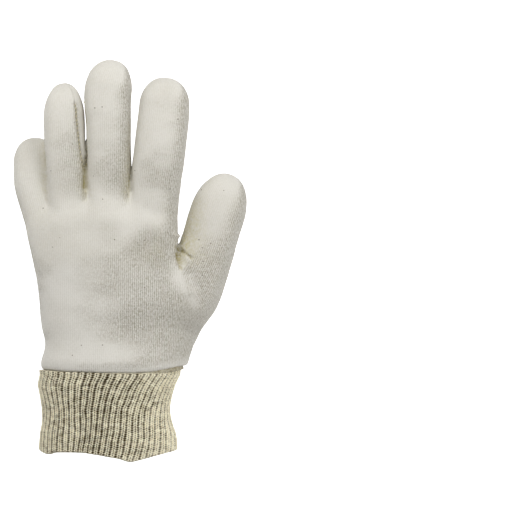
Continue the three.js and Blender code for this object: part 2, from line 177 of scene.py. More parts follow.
def middle_line(digit):
    """Points of a digit's curved middle line: from its root it runs along its lean, moved
    sideways by bow and towards the palm side by curl, both shares of its length."""
    along = np.linspace(0, 1, LINE_STEPS + 1)
    lean, length = math.radians(digit["lean"]), digit["length"]
    x, y, up = digit["root"]
    bow = read(digit, "along", "bow", along) * length
    curl = read(digit, "along", "curl", along) * length
    return np.stack([
        x * PALM_WIDTH + along * length * math.sin(lean) + bow * math.cos(lean),
        y * PALM_DEPTH + curl,
        CUFF_HEIGHT + up * PALM_LENGTH + along * length * math.cos(lean) - bow * math.sin(lean),
    ], axis=1)


def unit(vectors):
    return vectors / np.maximum(np.linalg.norm(vectors, axis=-1, keepdims=True), 1e-9)


for digit in DIGITS.values():
    line = middle_line(digit)
    ahead = unit(np.gradient(line, axis=0))
    across = unit(np.array([1.0, 0, 0]) - ahead * ahead[:, :1])
    along = np.linspace(0, 1, LINE_STEPS + 1)
    half = np.stack([
        read(digit, "along", "wide", along) * digit["width"] / 2,
        read(digit, "along", "deep", along) * digit["depth"] / 2,
    ], axis=1)
    digit["table"] = np.hstack([line, ahead, across, np.cross(ahead, across), half])
    digit["low"] = line.min(0) - digit["width"]
    digit["high"] = line.max(0) + digit["width"]
print("tip of the middle finger at z", round(float(DIGITS["middle"]["table"][-1, 2]), 1), "mm")

# %% Distance to the digits and the palm
FAR, PALM_TOP_ROUND = 25.0, 2.0


def on_digit(digit, points):
    """Place of points on a digit: share along its line, run along it in millimetres, offsets
    across and through it, and its half width and depth there. The share starts as the
    projection on the straight line from root to tip, and two corrections along the line's
    own direction bring it to the nearest place."""
    table = digit["table"]
    axis = table[-1, :3] - table[0, :3]
    share = np.clip((points - table[0, :3]) @ axis / (axis @ axis), 0, 1)
    for _ in range(3):
        i = np.minimum((share * LINE_STEPS).astype(int), LINE_STEPS - 1)
        part = (share * LINE_STEPS - i)[:, None]
        row = table[i] * (1 - part) + table[i + 1] * part
        offset = points - row[:, :3]
        run = np.sum(offset * row[:, 3:6], axis=1)
        share_here, share = share, np.clip(share + run / digit["length"], 0, 1)
    u = np.sum(offset * row[:, 6:9], axis=1)
    v = np.sum(offset * row[:, 9:12], axis=1)
    return share_here, share_here * digit["length"] + run, u, v, row[:, 12], row[:, 13]


def times_out(u, v, a, b, power):
    """How many times further out a place lies than a squared ellipse, seen from its middle."""
    return (np.abs(u / a) ** power + np.abs(v / b) ** power) ** (1 / power)


def digit_distance(digit, points):
    """About the distance to a digit. Its section is a squared ellipse and its tip a blunt
    dome of the same kind, so a point's reach from the middle is divided by how many times
    further out it lies than the surface in that direction."""
    result = np.full(len(points), FAR)
    near = np.all((points > digit["low"]) & (points < digit["high"]), axis=1)
    share, run, u, v, a, b = on_digit(digit, points[near])
    dome, blunt = digit["tip"] * digit["width"], TIP_BLUNTNESS
    past = np.maximum(run - digit["length"] + dome, 0) + np.maximum(-run, 0)
    ring = times_out(u, v, a, b, FINGER_SQUARENESS)
    times = (ring ** blunt + (past / dome) ** blunt) ** (1 / blunt)
    reach = np.sqrt(u * u + v * v + past ** 2) + 1e-3
    result[near] = np.minimum(reach * (1 - 1 / np.maximum(times, 1e-4)), FAR)
    return result


def palm_section(z):
    """Middle, half width and half depth of the palm at heights z."""
    up = (z - CUFF_HEIGHT) / PALM_LENGTH
    left, right, depth, shift = (
        read(PALM_TABLE, "up", name, up) for name in ("left", "right", "depth", "shift"))
    x = (left + right) / 2 * PALM_WIDTH
    return x, shift * PALM_DEPTH, (right - left) / 2 * PALM_WIDTH, depth * PALM_DEPTH / 2


def palm_distance(points):
    """About the distance to the palm, from the squared ellipse of its section at each
    height, cut off over its top."""
    x, y, a, b = palm_section(points[:, 2])
    u, v = points[:, 0] - x, points[:, 1] - y
    times = times_out(u, v, a, b, PALM_SQUARENESS)
    side = (np.sqrt(u * u + v * v) + 1e-3) * (1 - 1 / np.maximum(times, 1e-4))
    over = points[:, 2] - CUFF_HEIGHT - PALM_LENGTH
    return np.minimum(-join(-side, -over, PALM_TOP_ROUND), FAR)


def join(a, b, softness):
    """The smaller of two distances, rounded off where they differ by less than softness."""
    near = np.maximum(softness - np.abs(a - b), 0)
    return np.minimum(a, b) - near * near / (4 * softness)


# %% The whole hand as one distance
FINGER_CREASE, KNUCKLE_ROUND = 1.2, 5.0
THUMB_SHARP, THUMB_ROUND = 1.2, 8.0
THUMB_TURNS_ROUND = (126, -24)


def hand_distance(points):
    """The palm and the digits, joined. The thumb's joint is rounder further down."""
    fingers = np.full(len(points), FAR)
    for name in ("little", "ring", "middle", "index"):
        fingers = join(fingers, digit_distance(DIGITS[name], points), FINGER_CREASE)
    hand = join(palm_distance(points), fingers, KNUCKLE_ROUND)
    below = ramp(points[:, 2], *THUMB_TURNS_ROUND)
    softness = THUMB_SHARP + (THUMB_ROUND - THUMB_SHARP) * below
    return join(hand, digit_distance(DIGITS["thumb"], points), softness)


in_palm = np.array([[0, 0, 110.0]])
print("distance at the middle of the palm:", round(float(hand_distance(in_palm)[0]), 1))

# %% [markdown]
# To turn the function into a mesh, its value is taken on a grid of points. Each cell that
# the surface crosses gets one vertex, at the mean of the crossings on its edges, and each
# grid edge that crosses the surface gets a face between the four cells round it. This makes
# even four-sided faces, which suit cloth better than the thin triangles of marching cubes.

# %% Surface of a distance grid
CORNERS = [(i, j, k) for i in (0, 1) for j in (0, 1) for k in (0, 1)]


def surface_net(value, low, step):
    """Vertices and four-sided faces of the surface where value is 0, facing the higher side."""
    inside = value < 0
    shape = [n - 1 for n in value.shape]
    count = sum(inside[i:i + shape[0], j:j + shape[1], k:k + shape[2]].astype(int)
                for i, j, k in CORNERS)
    cells = np.argwhere((count > 0) & (count < 8))
    number = np.full(shape, -1)
    number[tuple(cells.T)] = np.arange(len(cells))
    total, crossings = np.zeros((len(cells), 3)), np.zeros(len(cells))
    for axis in range(3):
        for corner in (c for c in CORNERS if c[axis] == 0):
            end = np.array(corner)
            end[axis] = 1
            a = value[tuple((cells + corner).T)]
            b = value[tuple((cells + end).T)]
            cross = (a < 0) != (b < 0)
            part = np.where(cross, a / np.where(a == b, 1, a - b), 0)
            place = np.array(corner) + np.eye(3)[axis] * part[:, None]
            total += np.where(cross[:, None], place, 0)
            crossings += cross
    points = low + step * (cells + total / crossings[:, None])
    faces = []
    for axis in range(3):
        one, two = (axis + 1) % 3, (axis + 2) % 3
        change = -np.diff(inside.astype(int), axis=axis)
        at = np.argwhere(change != 0)
        sign = change[tuple(at.T)]
        sides = at[:, [one, two]]
        keep = np.all((sides > 0) & (sides < (shape[one], shape[two])), axis=1)
        at, sign = at[keep], sign[keep]
        ring = []
        for d1, d2 in ((1, 1), (0, 1), (0, 0), (1, 0)):
            cell = at.copy()
            cell[:, one] -= d1
            cell[:, two] -= d2
            ring.append(number[tuple(cell.T)])
        ring = np.stack(ring, axis=1)
        faces.append(np.where(sign[:, None] > 0, ring, ring[:, ::-1]))
    return points, np.vstack(faces)


STEP = 1.0
grid_low, grid_high = np.array([-62.0, -30.0, 46.0]), np.array([91.0, 33.0, 252.0])
axes = [np.arange(low, high, STEP) for low, high in zip(grid_low, grid_high)]
places = np.stack(np.meshgrid(*axes, indexing="ij"), axis=-1)
value = hand_distance(places.reshape(-1, 3)).reshape(places.shape[:3])
points, quads = surface_net(value, grid_low, STEP)
print("hand surface:", len(points), "points,", len(quads), "faces")

# %% [markdown]
# The net's points are close to the surface but uneven. Each is drawn half way to the mean of
# its neighbours and put back on the surface along the function's slope, a few times over.
# The same two moves later keep the cut edges smooth.

# %% Evening the net out
def edges_of(quads):
    """Every directed edge of the faces, as two point numbers."""
    return np.stack([quads, np.roll(quads, -1, axis=1)], axis=-1).reshape(-1, 2)


def pairs_of(quads):
    """Each edge of the faces once, without its direction."""
    return np.unique(np.sort(edges_of(quads), axis=1), axis=0)


def eased(points, pairs):
    """Each point half way to the mean of its neighbours along the given pairs."""
    a, b = pairs.T
    count = np.bincount(pairs.ravel(), minlength=len(points))
    total = [np.bincount(a, points[b, k], len(points))
             + np.bincount(b, points[a, k], len(points)) for k in range(3)]
    mean = np.stack(total, axis=1) / np.maximum(count, 1)[:, None]
    return (points + np.where(count[:, None] > 0, mean, points)) / 2


def slope_of(function, points, reach=0.3):
    """Slope of a function of place, by differences over a short reach each way."""
    steps = np.eye(3) * reach
    slopes = [(function(points + s) - function(points - s)) / (2 * reach) for s in steps]
    return np.stack(slopes, axis=1)


def along_cloth(vectors, normals):
    """Vectors without their part that points out of the cloth."""
    return vectors - np.sum(vectors * normals, axis=-1, keepdims=True) * normals


def settle(points):
    """Moves points onto the hand's surface, straight along the slope of its distance."""
    slope = slope_of(hand_distance, points)
    away = hand_distance(points) / np.maximum(np.sum(slope * slope, axis=1), 0.2)
    return points - np.clip(away, -1, 1)[:, None] * slope


pairs = pairs_of(quads)
for _ in range(2):
    points = settle(eased(points, pairs))
print("left over after settling:", round(float(np.abs(hand_distance(points)).max()), 3), "mm")

# %% [markdown]
# The hem is the lower edge of both panels. It isn't level: it dips in the middle and rises
# on the thumb side. The side seam runs up and down every digit at the digit's own middle
# depth, and on the ring finger it has turned to the front, so that its stitches show there.
# Both are written as functions that are zero on the line, so that one routine cuts along
# either.

# %% Hem and side seam as functions
HEM_TABLE = {"x": [-44, -36, -22, 2, 24, 38, 52], "z": [54.6, 54.2, 53.6, 52.8, 53.2, 54.8, 57.4]}
SEAM_REACH = 1.6
TWIST_STARTS, TWIST_GROWS = (.28, .12), (.35, .5)


def hem_height(x):
    """Height of the hem line at a place seen from the front."""
    return read(HEM_TABLE, "x", "z", x)


def over_hem(points):
    return points[:, 2] - hem_height(points[:, 0])


def shape_weights(points):
    """How much each form, palm first, shapes the cloth at each point: it falls off with the
    distance to that form, so that the nearest one leads. The distances come with it."""
    digits = [digit_distance(digit, points) for digit in DIGITS.values()]
    distances = np.stack([palm_distance(points), *digits])
    weights = np.exp(-np.clip(distances - distances.min(0), 0, 30) / SEAM_REACH)
    return weights / weights.sum(0), distances


def past_seam(points):
    """How far points lie on the palm side of the seam: their depth, less the mean of each
    form's own seam depth. A twisted seam turns to the front on the digit's right side."""
    weights, _ = shape_weights(points)
    depth = weights[0] * palm_section(points[:, 2])[1]
    for weight, digit in zip(weights[1:], DIGITS.values()):
        share, run, u, v, a, b = on_digit(digit, points)
        i = np.minimum((share * LINE_STEPS).astype(int), LINE_STEPS)
        low, high = digit.get("twist", (0, 0))
        turn = (low + (high - low) * ramp(share, *TWIST_GROWS)) * ramp(share, *TWIST_STARTS)
        depth = depth + weight * (digit["table"][i, 1] - turn * np.maximum(u, 0))
    return points[:, 1] - depth


def slide(points, function):
    """Moves points along the surface to where a function is 0."""
    normal = unit(slope_of(hand_distance, points))
    slope = along_cloth(slope_of(function, points), normal)
    away = function(points) / np.maximum(np.sum(slope * slope, axis=1), 0.15)
    return points - np.clip(away, -1, 1)[:, None] * slope


# %% Cutting the hem and parting the panels
def compact(quads):
    """The point numbers that faces use, and the faces counted in these alone."""
    used, numbers = np.unique(quads, return_inverse=True)
    return used, numbers.reshape(quads.shape)


used, quads = compact(quads[over_hem(points)[quads].mean(1) > 0])
points = points[used]
is_palm = past_seam(points)[quads].mean(1) > 0


def face_neighbours(quads):
    """For each directed edge, the face on its other side, or -1 at a cut. The edges and
    their own faces come with it."""
    ends, face = edges_of(quads), np.repeat(np.arange(len(quads)), 4)
    size = quads.max() + 1
    key, other = ends[:, 0] * size + ends[:, 1], ends[:, 1] * size + ends[:, 0]
    order = np.argsort(key)
    found = np.minimum(np.searchsorted(key[order], other), len(key) - 1)
    match = order[found]
    return np.where(key[match] == other, face[match], -1), ends, face


opposite, ends, face = face_neighbours(quads)
for _ in range(4):
    votes = np.bincount(face, np.where(opposite >= 0, is_palm[opposite], is_palm[face]), len(quads))
    is_palm = np.where(votes >= 3, True, np.where(votes <= 1, False, is_palm))
on_seam = (opposite >= 0) & (is_palm[face] != is_palm[opposite])
seam_pairs = ends[on_seam & is_palm[face]]
hem_pairs = ends[opposite < 0]
print("seam edges:", len(seam_pairs), " hem edges:", len(hem_pairs))

# %% Smoothing the cut lines
seam_points, hem_points = np.unique(seam_pairs), np.unique(hem_pairs)
free = np.setdiff1d(np.arange(len(points)), np.union1d(seam_points, hem_points))
pairs = pairs_of(quads)
for _ in range(5):
    points[free] = eased(points, pairs)[free]
    for line_points, line_pairs, function, other_points in (
        (seam_points, seam_pairs, past_seam, hem_points),
        (hem_points, hem_pairs, over_hem, seam_points),
    ):
        inner = np.setdiff1d(line_points, other_points)
        points[inner] = eased(points, line_pairs)[inner]
        points[line_points] = slide(points[line_points], function)
    points = settle(points)
off_line = np.abs(past_seam(points[seam_points])).max()
print("seam off its line by at most", round(float(off_line), 2), "mm")

# %% [markdown]
# Real cloth isn't as even as a formula. A table lists the folds, creases and hollows of both
# faces, each a line between two places seen from the front with a reach and a depth, below
# zero for a raised fold. Soft noise adds the unevenness of knitted cotton over a filled hand.

# %% Folds and unevenness
BACK, PALM_SIDE, BOTH = -1, 1, 0
FOLDS = [
    # face, from x, z, to x, z, reach, depth
    (BACK, 43.4, 131, 51.6, 124.6, .8, 2.4),
    (BACK, 44, 128, 46.2, 117.6, .8, 2.3),
    (BACK, 48, 127.4, 49.6, 119, 1.2, -.9),
    (BACK, 47.4, 118, 50.6, 104, 2.2, -.8),
    (BACK, 50.4, 114, 54, 102, 4, 1.1),
    (BACK, 14.4, 166, 14.4, 192, .9, 1.5),
    (BACK, -13.6, 167.6, -14.2, 186, 1.1, 1.7),
    (BACK, 28, 161, 38, 159, 14, 1.2),
    (BACK, 27, 153.5, 38, 152, 5, .6),
    (BACK, 30, 143, 18, 145, 6.5, -.3),
    (BACK, 6, 168, -6, 169, 9, 1.3),
    (BACK, 7, 162, -6, 163, 4, .4),
    (BACK, -23, 162, -30, 162, 8, .8),
    (BACK, -8, 150, 10, 147, 9, -.9),
    (BACK, -34, 148, -20, 149, 9, -.6),
    (BACK, 25, 130, 32, 116, 11, 2.2),
    (BACK, 38, 70, 42, 116, 26, 3),
    (BACK, 36, 78, 14, 78, 14, 1.6),
    (BACK, -34, 70, 0, 72, 12, .6),
    (BACK, 50, 140, 56, 158, 5, 1),
    (BOTH, 43.8, 137.8, 41, 138.4, 1.3, -1.5),
    (BACK, 43, 135, 38, 138.4, 1.3, 1),
    (PALM_SIDE, 17, 166.4, 44.3, 160.4, 2, -1.4),
    (PALM_SIDE, 17, 162, 43, 150.4, 2.8, 3.2),
    (PALM_SIDE, 17.4, 163.4, 36, 156.8, .8, 1.8),
    (PALM_SIDE, 19.3, 156.5, 43.6, 142.2, 2.6, -1),
    (PALM_SIDE, 44, 134.6, 24, 147, 4, 3.2),
    (PALM_SIDE, 43, 133.4, 58, 126.6, 1.6, -1.2),
    (PALM_SIDE, 43.6, 130.6, 58, 120.6, 1.3, 2.1),
    (PALM_SIDE, 43.6, 128.6, 56.1, 109.1, 1.2, 2),
    (PALM_SIDE, 43.2, 126, 50, 104, 2.4, -.9),
    (PALM_SIDE, -32, 150, -52, 127, 1.6, -1.8),
    (PALM_SIDE, -33, 146.4, -49, 122, 1.8, 1.6),
    (PALM_SIDE, -8, 120, -4, 86, 20, 1.6),
    (PALM_SIDE, -36, 112, -30, 96, 7, .9),
    (PALM_SIDE, 26, 112, 34, 84, 9, 1),
]
LATTICE, LATTICE_START = 40, 200
FACING = 1.6


def soft_noise(points, size, seed):
    """Smooth noise of a given size: random values on a lattice, eased between its points."""
    lattice = np.random.default_rng(seed).uniform(-1, 1, (LATTICE, LATTICE, LATTICE))
    place = points / size + LATTICE_START
    base = np.floor(place).astype(int)
    part = place - base
    part = part * part * (3 - 2 * part)
    result = np.zeros(len(points))
    for corner in CORNERS:
        share = np.where(corner, part, 1 - part).prod(axis=1)
        cell = (base + corner) % LATTICE
        result += share * lattice[tuple(cell.T)]
    return result


def normals_of(points, quads):
    """Mean of the normals of the faces round each point, larger faces counting more."""
    a, b, c, d = (points[quads[:, k]] for k in range(4))
    normal = np.cross(c - a, d - b)
    total = [np.bincount(quads.ravel(), np.repeat(normal[:, k], 4), len(points)) for k in range(3)]
    return unit(np.stack(total, axis=1))


def fold_depth(points, normals, folds=FOLDS):
    """How far the folds press the cloth in: each falls off as a bell with the distance from
    its line, halves towards the line's far end, and fades where the cloth turns away from
    the face that it is on."""
    depth = np.zeros(len(points))
    for side, x0, z0, x1, z1, reach, deep in folds:
        run = np.array([x1 - x0, z1 - z0])
        offset = points[:, [0, 2]] - (x0, z0)
        share = np.clip(offset @ run / (run @ run), 0, 1)
        away = np.linalg.norm(offset - share[:, None] * run, axis=1)
        facing = np.clip(normals[:, 1] * side * FACING, 0, 1) if side else 1.0
        depth += deep * facing * (1 - 0.5 * share) * np.exp(-(away / reach) ** 2)
    return depth


# %% Pressing the folds, the seam and the hem into the cloth
SEAM_DEEP, SEAM_WIDE = 0.6, 0.9
ROLL_HIGH, ROLL_AWAY, ROLL_WIDE = 0.22, 2.6, 1.2
HEM_DEEP, HEM_ROUND = 0.6, 2.6
UNEVENNESS = ((0.36, 19, 1), (0.16, 6, 2))  # height, size, seed
RING_TIP, RING_MIDDLE, RING_REACH, RING_TURN = (219, 7), -26, 14, 0.3

normals = normals_of(points, quads)
seam_slope = along_cloth(slope_of(past_seam, points), normals)
from_seam = np.abs(past_seam(points)) / np.maximum(np.linalg.norm(seam_slope, axis=1), 0.3)
inwards = fold_depth(points, normals)
inwards += sum(high * soft_noise(points, size, seed) for high, size, seed in UNEVENNESS)
# The seam and its stitches fade out at the tip of the ring finger.
ring_tip = ramp(points[:, 2], *RING_TIP) * (np.abs(points[:, 0] - RING_MIDDLE) < RING_REACH)
ring_tip = ring_tip * (normals[:, 1] < RING_TURN)
to_seam = from_seam + 4 * ring_tip
inwards += (SEAM_DEEP * np.exp(-(to_seam / SEAM_WIDE) ** 2)
            - ROLL_HIGH * np.exp(-((to_seam - ROLL_AWAY) / ROLL_WIDE) ** 2))
above = np.clip(over_hem(points), 0, HEM_ROUND)
inwards += HEM_DEEP * (HEM_ROUND - np.sqrt(HEM_ROUND ** 2 - (HEM_ROUND - above) ** 2))
cloth = points - inwards[:, None] * normals
print("deepest press:", round(float(inwards.max()), 2), "mm")

# %% [markdown]
# Each panel becomes a closed piece of cloth: its outer faces, the same faces 1.6 mm further
# in and turned round, and a rim along its cut edges. Its texture map counts millimetres
# across and along the cloth, so that the rows of stitches follow each finger.

# %% Millimetres across and along the cloth
ARC_STEPS, ARC_PARTS = 180, 8
LEAVES_PALM = 0.38


def squared(wave, squareness):
    """A sine or cosine bent so that the two of them draw a squared ellipse."""
    return np.sign(wave) * np.abs(wave) ** (2 / squareness)


def length_along(x, y):
    """Length from the start of a line to each of its points."""
    return np.concatenate([[0], np.cumsum(np.hypot(np.diff(x), np.diff(y)))])


def arc_length(squareness, ratio):
    """Length along a squared ellipse of half width 1 and half depth ratio, from the middle of
    its face round to the middle of the other face, at even steps of its angle."""
    angle = np.linspace(0, math.pi, ARC_STEPS * ARC_PARTS + 1)
    x, y = squared(np.sin(angle), squareness), ratio * squared(np.cos(angle), squareness)
    return length_along(x, y)[::ARC_PARTS]


RATIOS = np.linspace(0.1, 1.2, 45)
ARCS = {squareness: np.stack([arc_length(squareness, ratio) for ratio in RATIOS])
        for squareness in (FINGER_SQUARENESS, PALM_SQUARENESS)}


def across_cloth(u, v, a, b, squareness, side):
    """Signed length across the cloth from the middle of its own face."""
    p = np.abs(u / a) ** (squareness / 2)
    q = np.abs(v / b) ** (squareness / 2) * np.sign(v) * side
    angle = np.arctan2(p, q) / math.pi * ARC_STEPS
    column = np.clip(angle.astype(int), 0, ARC_STEPS - 1)
    row = np.clip(((b / a - RATIOS[0]) / (RATIOS[1] - RATIOS[0])).astype(int), 0, len(RATIOS) - 1)
    arcs = ARCS[squareness]
    part = angle - column
    return np.sign(u) * a * (arcs[row, column] * (1 - part) + arcs[row, column + 1] * part)


def cloth_map(points, side):
    """Millimetres across and along the cloth: each form counts from the middle line of its
    face. A digit's count agrees with the palm's where its middle line leaves the palm, and
    the forms are mixed where they meet. The distances to the forms come with it."""
    weights, distances = shape_weights(points)
    x, y, a, b = palm_section(points[:, 2])
    u, v = points[:, 0] - x, points[:, 1] - y
    across = weights[0] * (x + across_cloth(u, v, a, b, PALM_SQUARENESS, side))
    along = weights[0] * points[:, 2]
    for weight, digit in zip(weights[1:], DIGITS.values()):
        share, run, u, v, a, b = on_digit(digit, points)
        middle = digit["table"][int(LEAVES_PALM * LINE_STEPS)]
        across += weight * (middle[0] + across_cloth(u, v, a, b, FINGER_SQUARENESS, side))
        along += weight * (middle[2] + run - LEAVES_PALM * digit["length"])
    return np.stack([across, along], axis=1), distances


# %% Closed panels
def new_object(name, points, quads, uv=None, attributes=None):
    mesh = bpy.data.meshes.new(name)
    mesh.from_pydata((points * MM).tolist(), [], quads.tolist())
    mesh.polygons.foreach_set("use_smooth", np.ones(len(quads), bool))
    if uv is not None:
        layer = mesh.uv_layers.new(name="cloth")
        layer.data.foreach_set("uv", uv[quads.ravel()].astype(np.float32).ravel())
    for key, values in (attributes or {}).items():
        attribute = mesh.attributes.new(key, "FLOAT", "POINT")
        attribute.data.foreach_set("value", values.astype(np.float32))
    mesh.validate()
    mesh.update()
    return add_object(name, mesh)


SHARP_FOLDS = [fold for fold in FOLDS if fold[5] < 1.4 and fold[6] > 1.6]
NARROW_FOLDS = [fold for fold in FOLDS if fold[5] < 5]
CREASE_SHADE_FULL, NARROW_SHARE = 2.4, 0.35
CROTCH, THUMB_CROTCH = (156.0, 10), (116.0, 10)
GAP_REACH, THUMB_GAP_REACH = {BACK: 5, PALM_SIDE: 3}, 17
# Direction towards the key light, the facing below which the back gets painted shade, and the range
# over which that shade deepens.
KEY_LIGHT_WAY, LIT_FACING, SHADE_RANGE = np.array([-0.38, -0.51, 0.77]), 0.62, 0.34
WEB_LINE = ([92, 107, 117, 130, 150], [58, 48, 44.5, 43, 42])  # z, x
PANEL_GAP = 0.1


def shade_between_digits(points, normals, side, distances):
    """Painted shade: 1 where a second digit is close by, falling to 0 within a few
    millimetres, above the crotches. On the back it counts on the right side of a finger alone,
    the side away from the key light. Next to the thumb it counts where the cloth turns left."""
    second = np.sort(distances[1:5], axis=0)[1]
    turned = np.clip(normals[:, 0] * 1.6 + 0.3, 0, 1) if side == BACK else 0.5
    fingers = np.exp(-(np.maximum(second, 0) / GAP_REACH[side]) ** 2)
    fingers = fingers * ramp(points[:, 2], *CROTCH) * turned
    away = np.maximum(np.maximum(distances[0], distances[5]), 0)
    thumb = np.exp(-(away / THUMB_GAP_REACH) ** 2) * ramp(points[:, 2], *THUMB_CROTCH)
    return 0.8 * fingers + thumb * np.clip(0.6 - normals[:, 0] * 1.2, 0, 1)


def painted_shade_of(points, normals, side):
    """Painted shade, from 0 to about 1, which also makes the stitches show more. The back is
    light where it turns up and to the left, towards the key light, and shaded over the thumb
    side of the palm, but for the line of the thumb's web. The palm side is shaded where it
    faces straight out and in folds."""
    x, _, z = points.T
    if side == PALM_SIDE:
        painted_shade = 0.75 * ramp(np.abs(normals[:, 1]), 0.72, 0.22) + 0.15 * soft_noise(points, 13, 12)
        painted_shade += 0.45 * np.clip(fold_depth(points, normals), -2, 2.5)
    else:
        shade_over_palm = ramp(x, -22, 50) * ramp(z, 140, -20)
        shade_over_palm *= 1 - np.exp(-((x - np.interp(z, *WEB_LINE)) / 6) ** 2)
        painted_shade = (LIT_FACING - normals @ KEY_LIGHT_WAY) / SHADE_RANGE + 0.75 * shade_over_palm
        painted_shade += 0.25 * soft_noise(points, 13, 12)
    painted_shade = np.clip(painted_shade, 0.1, 1 if side == BACK else 1.5)
    return painted_shade * np.clip(over_hem(points) / 7, 0.2, 1)


cloth_normals = normals_of(cloth, quads)
panels = {}
for name, side in (("back_panel", BACK), ("palm_panel", PALM_SIDE)):
    used, own = compact(quads[is_palm == (side == PALM_SIDE)])
    place, facing, outer = points[used], cloth_normals[used], cloth[used]
    at_seam = np.isin(used, seam_points)
    outer[at_seam] += side * PANEL_GAP * unit(seam_slope[used][at_seam])
    inner = outer - CLOTH * facing
    opposite, ends, _ = face_neighbours(own)
    a, b = ends[opposite < 0].T
    rim = np.stack([b, a, a + len(used), b + len(used)], axis=1)
    faces = np.vstack([own, own[:, ::-1] + len(used), rim])
    uv, distances = cloth_map(place, side)
    # Painted shade in the sharp folds, and on the palm side a share of it in the narrow folds too.
    crease_shade = fold_depth(place, facing, SHARP_FOLDS)
    if side == PALM_SIDE:
        crease_shade += NARROW_SHARE * np.clip(fold_depth(place, facing, NARROW_FOLDS), 0, 3)
    # Masks of painted shade, stored with the mesh: between digits, over the cloth and in creases;
    # seam holds the distance to the seam, whose groove gets a painted shadow.
    looks = {
        "between": shade_between_digits(place, facing, side, distances),
        "painted_shade": painted_shade_of(place, facing, side),
        "crease": np.clip(crease_shade / CREASE_SHADE_FULL, 0, 1),
        "seam": to_seam[used],
    }
    panels[name] = new_object(
        name + "_cloth", np.vstack([outer, inner]), faces, np.vstack([uv, uv]),
        {key: np.tile(values, 2) for key, values in looks.items()},
    )
    print(name, "has", 2 * len(faces), "triangles")

# %% [markdown]
# Down the front of the ring finger the seam's thread shows as a row of small slanting
# stitches, and the same thread runs round the whole edge. Each stitch is a short tube with
# pinched ends. They could be one long cord, but single stitches dip into the cloth as real
# ones do. The seam's points come in no order, so each finds its distance to the line's end
# by doubling: it adds that of the point ahead, then looks twice as far.

# %% Stitches of the side seam
STITCH_PITCH, STITCH_LONG, THREAD = 2.5, 1.7, 0.34
STITCH_SLANT, STITCH_ARCH, STITCH_SUNK = 0.45, 0.42, 0.1
SEAM_END, LONG_CHAIN, DOUBLINGS = 4.0, 100, 13

def run_to_end(pairs, points, count):
    """Length along a chain of directed pairs from each point to the chain's end."""
    ahead, length = np.arange(count), np.zeros(count)
    ahead[pairs[:, 0]] = pairs[:, 1]
    length[pairs[:, 0]] = np.linalg.norm(points[pairs[:, 1]] - points[pairs[:, 0]], axis=1)
    for _ in range(DOUBLINGS):
        length, ahead = length + length[ahead], ahead[ahead]
    return length, ahead


length, last = run_to_end(seam_pairs, cloth, len(cloth))
seam_lines = np.bincount(last[seam_points], minlength=len(cloth))
chain = seam_points[seam_lines[last[seam_points]] > LONG_CHAIN]
chain = chain[np.argsort(length[chain])]
run = length[chain]
at = np.arange(SEAM_END, run[-1] - SEAM_END, STITCH_PITCH)
at = at + rng.uniform(-0.2, 0.2, len(at))
at = at[np.interp(at, run, ring_tip[chain]) < 0.3]


def on_chain(values, at):
    """What the seam's points have, at lengths along it."""
    return np.stack([np.interp(at, run, values[chain, k]) for k in range(3)], axis=-1)


def faces_of(*corners):
    """Four-sided faces from the point numbers of their four corners, spread to one shape."""
    return np.stack(np.broadcast_arrays(*corners), axis=-1).reshape(-1, 4)


def stitch_tubes(at, rings=5, sides=6):
    """Tubes over the seam: along and a little across it by a share, up by an arc, and pinched
    at the ends by the root of a parabola."""
    place, out = on_chain(cloth, at), unit(on_chain(cloth_normals, at))
    ahead = unit(along_cloth(on_chain(cloth, at + 1) - place, out))
    across = np.cross(ahead, out)
    share = np.linspace(-1, 1, rings)[:, None, None]
    angle = np.arange(sides)[:, None, None, None] * 2 * math.pi / sides
    line = place + share * (ahead * STITCH_LONG / 2 + across * STITCH_SLANT)
    line = line + out * (STITCH_ARCH * (1 - share ** 2) - STITCH_SUNK)
    thick = THREAD * np.sqrt(1.02 - share ** 2)
    grid = line + (np.cos(angle) * across + np.sin(angle) * out) * thick
    first = (np.arange(len(at)) * rings * sides)[:, None, None]
    row, j = first + np.arange(rings - 1)[:, None] * sides, np.arange(sides)
    k = (j + 1) % sides
    cap = np.array([[0, 1, 2, 3], [0, 3, 4, 5]])
    caps = np.vstack([cap, (rings - 1) * sides + cap[:, ::-1]])
    walls = faces_of(row + j, row + sides + j, row + sides + k, row + k)
    faces = np.vstack([walls, (first + caps).reshape(-1, 4)])
    return grid.transpose(2, 1, 0, 3).reshape(-1, 3), faces


thread_points, thread_quads = stitch_tubes(at)
seam_stitches = new_object("seam_stitches", thread_points, thread_quads)
print("seam:", round(float(run[-1])), "mm,", len(at), "stitches")
print("stitches have", 2 * len(thread_quads), "triangles")

# %% [markdown]
# The cuff is a plain tube with a pattern, so here a grid of two parameters is right: turns
# round the tube and rows up it. Every rib has twelve columns of points with a small groove
# down its middle, and every course of stitches three rows, enough for real ridges, holes and
# stitches in the mesh. The columns wander a little and slant on one side, as the ribs on the
# real cuff do.

# %% Outline of the cuff
RIBS, RIB_POINTS, COURSE = 56, 12, 1.4
CUFF_ROUND, MOUTH_BLEND = 208, 20
SLANTS, SLANT_REACH = ((13.0, 0.86), (-5.0, 0.12)), 0.3  # millimetres, middle as a turn
MOUTH_TABLE = {
    "x": [-44, -41, -37, -31, -14, -3, 5, 12, 19, 25, 32, 37, 41, 44],
    "back": [9, 4.4, 3, 4.4, 4.6, 3.4, 2.1, .9, -1, -.1, 1.9, 3.7, 5.6, 10],
    "palm": [9, 5, 4.4, 5.6, 5.4, 4.6, 4.2, 3.6, 3.6, 3.8, 4.2, 4.8, 6.2, 10],
}


def even_angles(turns):
    """Angles of a squared ellipse at even lengths round it."""
    fine = np.linspace(0, 2 * math.pi, 4001)
    length = length_along(CUFF_WIDTH / 2 * squared(np.cos(fine), CUFF_SQUARENESS),
                          CUFF_DEPTH / 2 * squared(np.sin(fine), CUFF_SQUARENESS))
    return np.interp((turns % 1) * length[-1], length, fine)


